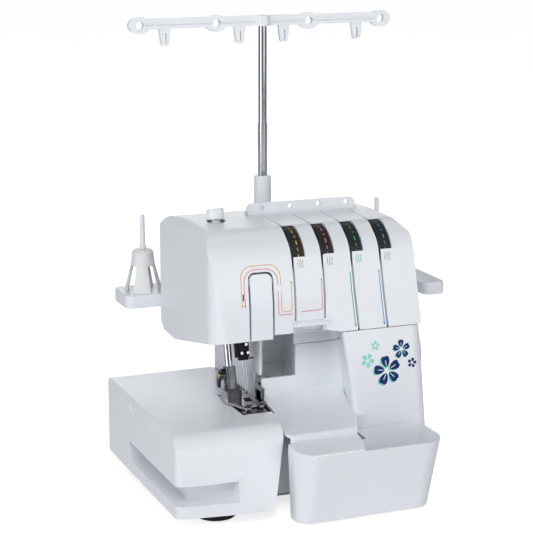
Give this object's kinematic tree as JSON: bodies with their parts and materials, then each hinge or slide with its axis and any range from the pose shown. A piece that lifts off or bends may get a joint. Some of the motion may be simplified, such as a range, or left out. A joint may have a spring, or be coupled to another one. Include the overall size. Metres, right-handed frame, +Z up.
{
  "type": "overlock sewing machine",
  "caption": "White table-top overlock sewing machine with tension dials, fold-down front cover, trim bin, removable flat bed and a telescopic thread mast over a spool stand.",
  "frame": {"origin": "centre of the overall box, on the table surface", "axes": "+X to the right as the user sits at it, +Y to the back, +Z up"},
  "size_m": [0.376, 0.326, 0.474],
  "materials": {
    "white_cover": "satin white moulded plastic",
    "white_detail": "white moulded plastic",
    "translucent_white": "milky white plastic",
    "dark_plastic": "dark grey plastic",
    "dial_plastic": "black plastic",
    "rubber": "black rubber",
    "steel": "ground steel",
    "dark_steel": "dark blued steel",
    "chrome": "chromed steel",
    "cast_metal": "cast aluminium",
    "black_metal": "black coated metal",
    "zinc_sheet": "zinc plated sheet steel"
  },
  "bodies": {
    "machine_body": {"top_cover": "white_cover", "take_up_cover": "white_cover", "rear_housing": "white_cover", "side_cover": "white_cover", "spool_stand": "white_cover", "spool_cones": "translucent_white", "spool_pins": "white_detail", "thread_ledge": "white_detail", "pole_socket": "white_detail", "looper_guard": "white_detail", "switch_frame": "dark_plastic", "power_inlet": "dark_plastic", "rubber_feet": "rubber", "drive_belt": "rubber", "base_plate": "zinc_sheet", "motor_bracket": "zinc_sheet", "tension_bracket": "zinc_sheet", "free_arm": "cast_metal", "machine_frame": "cast_metal", "fixing_screws": "steel", "lower_knife": "steel", "needle_plate": "dark_steel", "looper_bearings": "cast_metal", "bar_bushes": "steel", "shaft_bushes": "steel", "motor": "black_metal", "pole_outer_tube": "chrome", "tension_discs": "chrome", "tension_springs": "steel"},
    "drive_shaft": {"main_shaft": "steel", "shaft_pulley": "cast_metal", "handwheel": "white_detail"},
    "motor_rotor": {"motor_pulley": "cast_metal"},
    "needle_carrier": {"needle_bar": "chrome", "needle_clamp": "black_metal", "needles": "chrome"},
    "take_up_arm": {"take_up_lever": "chrome"},
    "upper_looper_arm": {"upper_looper": "chrome"},
    "lower_looper_arm": {"lower_looper": "chrome"},
    "upper_knife_arm": {"upper_knife": "steel"},
    "feed_carrier": {"feed_dogs": "steel"},
    "presser_carrier": {"presser_bar": "chrome", "presser_spring": "steel", "presser_ankle": "dark_steel", "presser_foot": "steel"},
    "presser_lift": {"presser_lever": "dark_plastic"},
    "pressure_adjuster": {"pressure_knob": "white_detail"},
    "dial_1": {"tension_dial_1": "dial_plastic"},
    "dial_2": {"tension_dial_2": "dial_plastic"},
    "dial_3": {"tension_dial_3": "dial_plastic"},
    "dial_4": {"tension_dial_4": "dial_plastic"},
    "stitch_length_setting": {"stitch_length_dial": "white_detail"},
    "feed_setting": {"feed_dial": "white_detail"},
    "rocker": {"power_rocker": "dark_plastic"},
    "flat_bed": {"bed_cover": "white_cover"},
    "hinge_carriage": {"hinge_shaft": "steel"},
    "front_door": {"front_cover": "white_cover"},
    "trim_tray": {"trim_bin": "white_cover"},
    "mast_top": {"pole_inner_tube": "chrome", "thread_guide_bar": "white_detail"}
  },
  "joints": [
    {"name": "handwheel_turn", "type": "hinge", "parent": "machine_body", "child": "drive_shaft", "pos_m": [0.12, 0.045, 0.11], "axis": [1, 0, 0], "continuous": true},
    {"name": "motor_spin", "type": "hinge", "parent": "machine_body", "child": "motor_rotor", "pos_m": [0.069, 0.074, 0.048], "axis": [1, 0, 0], "continuous": true},
    {"name": "needle_bar_slide", "type": "slide", "parent": "machine_body", "child": "needle_carrier", "axis": [0, 0.2419, 0.9703], "range_m": [-0.025, 0]},
    {"name": "take_up_swing", "type": "hinge", "parent": "machine_body", "child": "take_up_arm", "pos_m": [-0.0788, -0.024, 0.212], "axis": [1, 0, 0], "range_deg": [-1, 30]},
    {"name": "upper_looper_swing", "type": "hinge", "parent": "machine_body", "child": "upper_looper_arm", "pos_m": [-0.051, -0.022, 0.062], "axis": [0, 1, 0], "range_deg": [-1, 9]},
    {"name": "lower_looper_swing", "type": "hinge", "parent": "machine_body", "child": "lower_looper_arm", "pos_m": [-0.06, -0.016, 0.045], "axis": [0, 1, 0], "range_deg": [-1, 8.5]},
    {"name": "upper_knife_slide", "type": "slide", "parent": "machine_body", "child": "upper_knife_arm", "axis": [0, 0, 1], "range_m": [-0.0092, 0.0002]},
    {"name": "feed_slide", "type": "slide", "parent": "machine_body", "child": "feed_carrier", "axis": [0, 1, 0], "range_m": [-0.0031, 0.0001]},
    {"name": "presser_lever_lift", "type": "hinge", "parent": "machine_body", "child": "presser_lift", "pos_m": [-0.1075, -0.008, 0.1856], "axis": [1, 0, 0], "range_deg": [0, 25]},
    {"name": "presser_bar_slide", "type": "slide", "parent": "machine_body", "child": "presser_carrier", "axis": [0, 0.2419, 0.9703], "range_m": [-0.0001, 0.0056]},
    {"name": "pressure_knob_turn", "type": "hinge", "parent": "machine_body", "child": "pressure_adjuster", "pos_m": [-0.096, 0.01676, 0.27836], "axis": [0, 0.2419, 0.9703], "range_deg": [-360, 360]},
    {"name": "tension_dial_1_turn", "type": "hinge", "parent": "machine_body", "child": "dial_1", "pos_m": [-0.0356, -0.026, 0.241], "axis": [1, 0, 0], "range_deg": [-135, 135]},
    {"name": "tension_dial_2_turn", "type": "hinge", "parent": "machine_body", "child": "dial_2", "pos_m": [-0.0036, -0.026, 0.241], "axis": [1, 0, 0], "range_deg": [-135, 135]},
    {"name": "tension_dial_3_turn", "type": "hinge", "parent": "machine_body", "child": "dial_3", "pos_m": [0.0284, -0.026, 0.241], "axis": [1, 0, 0], "range_deg": [-135, 135]},
    {"name": "tension_dial_4_turn", "type": "hinge", "parent": "machine_body", "child": "dial_4", "pos_m": [0.0604, -0.026, 0.241], "axis": [1, 0, 0], "range_deg": [-135, 135]},
    {"name": "stitch_length_turn", "type": "hinge", "parent": "machine_body", "child": "stitch_length_setting", "pos_m": [0.096, -0.008, 0.06], "axis": [1, 0, 0], "range_deg": [0, 150]},
    {"name": "feed_dial_turn", "type": "hinge", "parent": "machine_body", "child": "feed_setting", "pos_m": [0.096, 0.026, 0.046], "axis": [1, 0, 0], "range_deg": [0, 140]},
    {"name": "power_rocker_tilt", "type": "hinge", "parent": "machine_body", "child": "rocker", "pos_m": [0.089, 0.072, 0.056], "axis": [0, 1, 0], "range_deg": [-14, 0]},
    {"name": "bed_cover_slide", "type": "slide", "parent": "machine_body", "child": "flat_bed", "axis": [-1, 0, 0], "range_m": [0, 0.115]},
    {"name": "front_cover_shift", "type": "slide", "parent": "machine_body", "child": "hinge_carriage", "axis": [1, 0, 0], "range_m": [0, 0.008]},
    {"name": "front_cover_open", "type": "hinge", "parent": "hinge_carriage", "child": "front_door", "pos_m": [0.007, -0.084, 0.022], "axis": [1, 0, 0], "range_deg": [0, 68]},
    {"name": "trim_bin_slide", "type": "slide", "parent": "hinge_carriage", "child": "trim_tray", "axis": [0, -1, 0], "range_m": [-0.0005, 0.137]},
    {"name": "mast_slide", "type": "slide", "parent": "machine_body", "child": "mast_top", "axis": [0, 0, 1], "range_m": [-0.105, 0]}
  ],
  "couplings": [
    {"joint": "motor_spin", "follows": "handwheel_turn", "ratio": 2.7778},
    {"joint": "take_up_swing", "follows": "needle_bar_slide", "rad_per_m": -20},
    {"joint": "upper_looper_swing", "follows": "needle_bar_slide", "rad_per_m": -6},
    {"joint": "lower_looper_swing", "follows": "needle_bar_slide", "rad_per_m": -5.6},
    {"joint": "upper_knife_slide", "follows": "needle_bar_slide", "ratio": 0.36},
    {"joint": "feed_slide", "follows": "needle_bar_slide", "ratio": 0.12},
    {"joint": "presser_bar_slide", "follows": "presser_lever_lift", "m_per_rad": 0.0126},
    {"joint": "trim_bin_slide", "follows": "front_cover_open", "m_per_rad": 0.115}
  ]
}
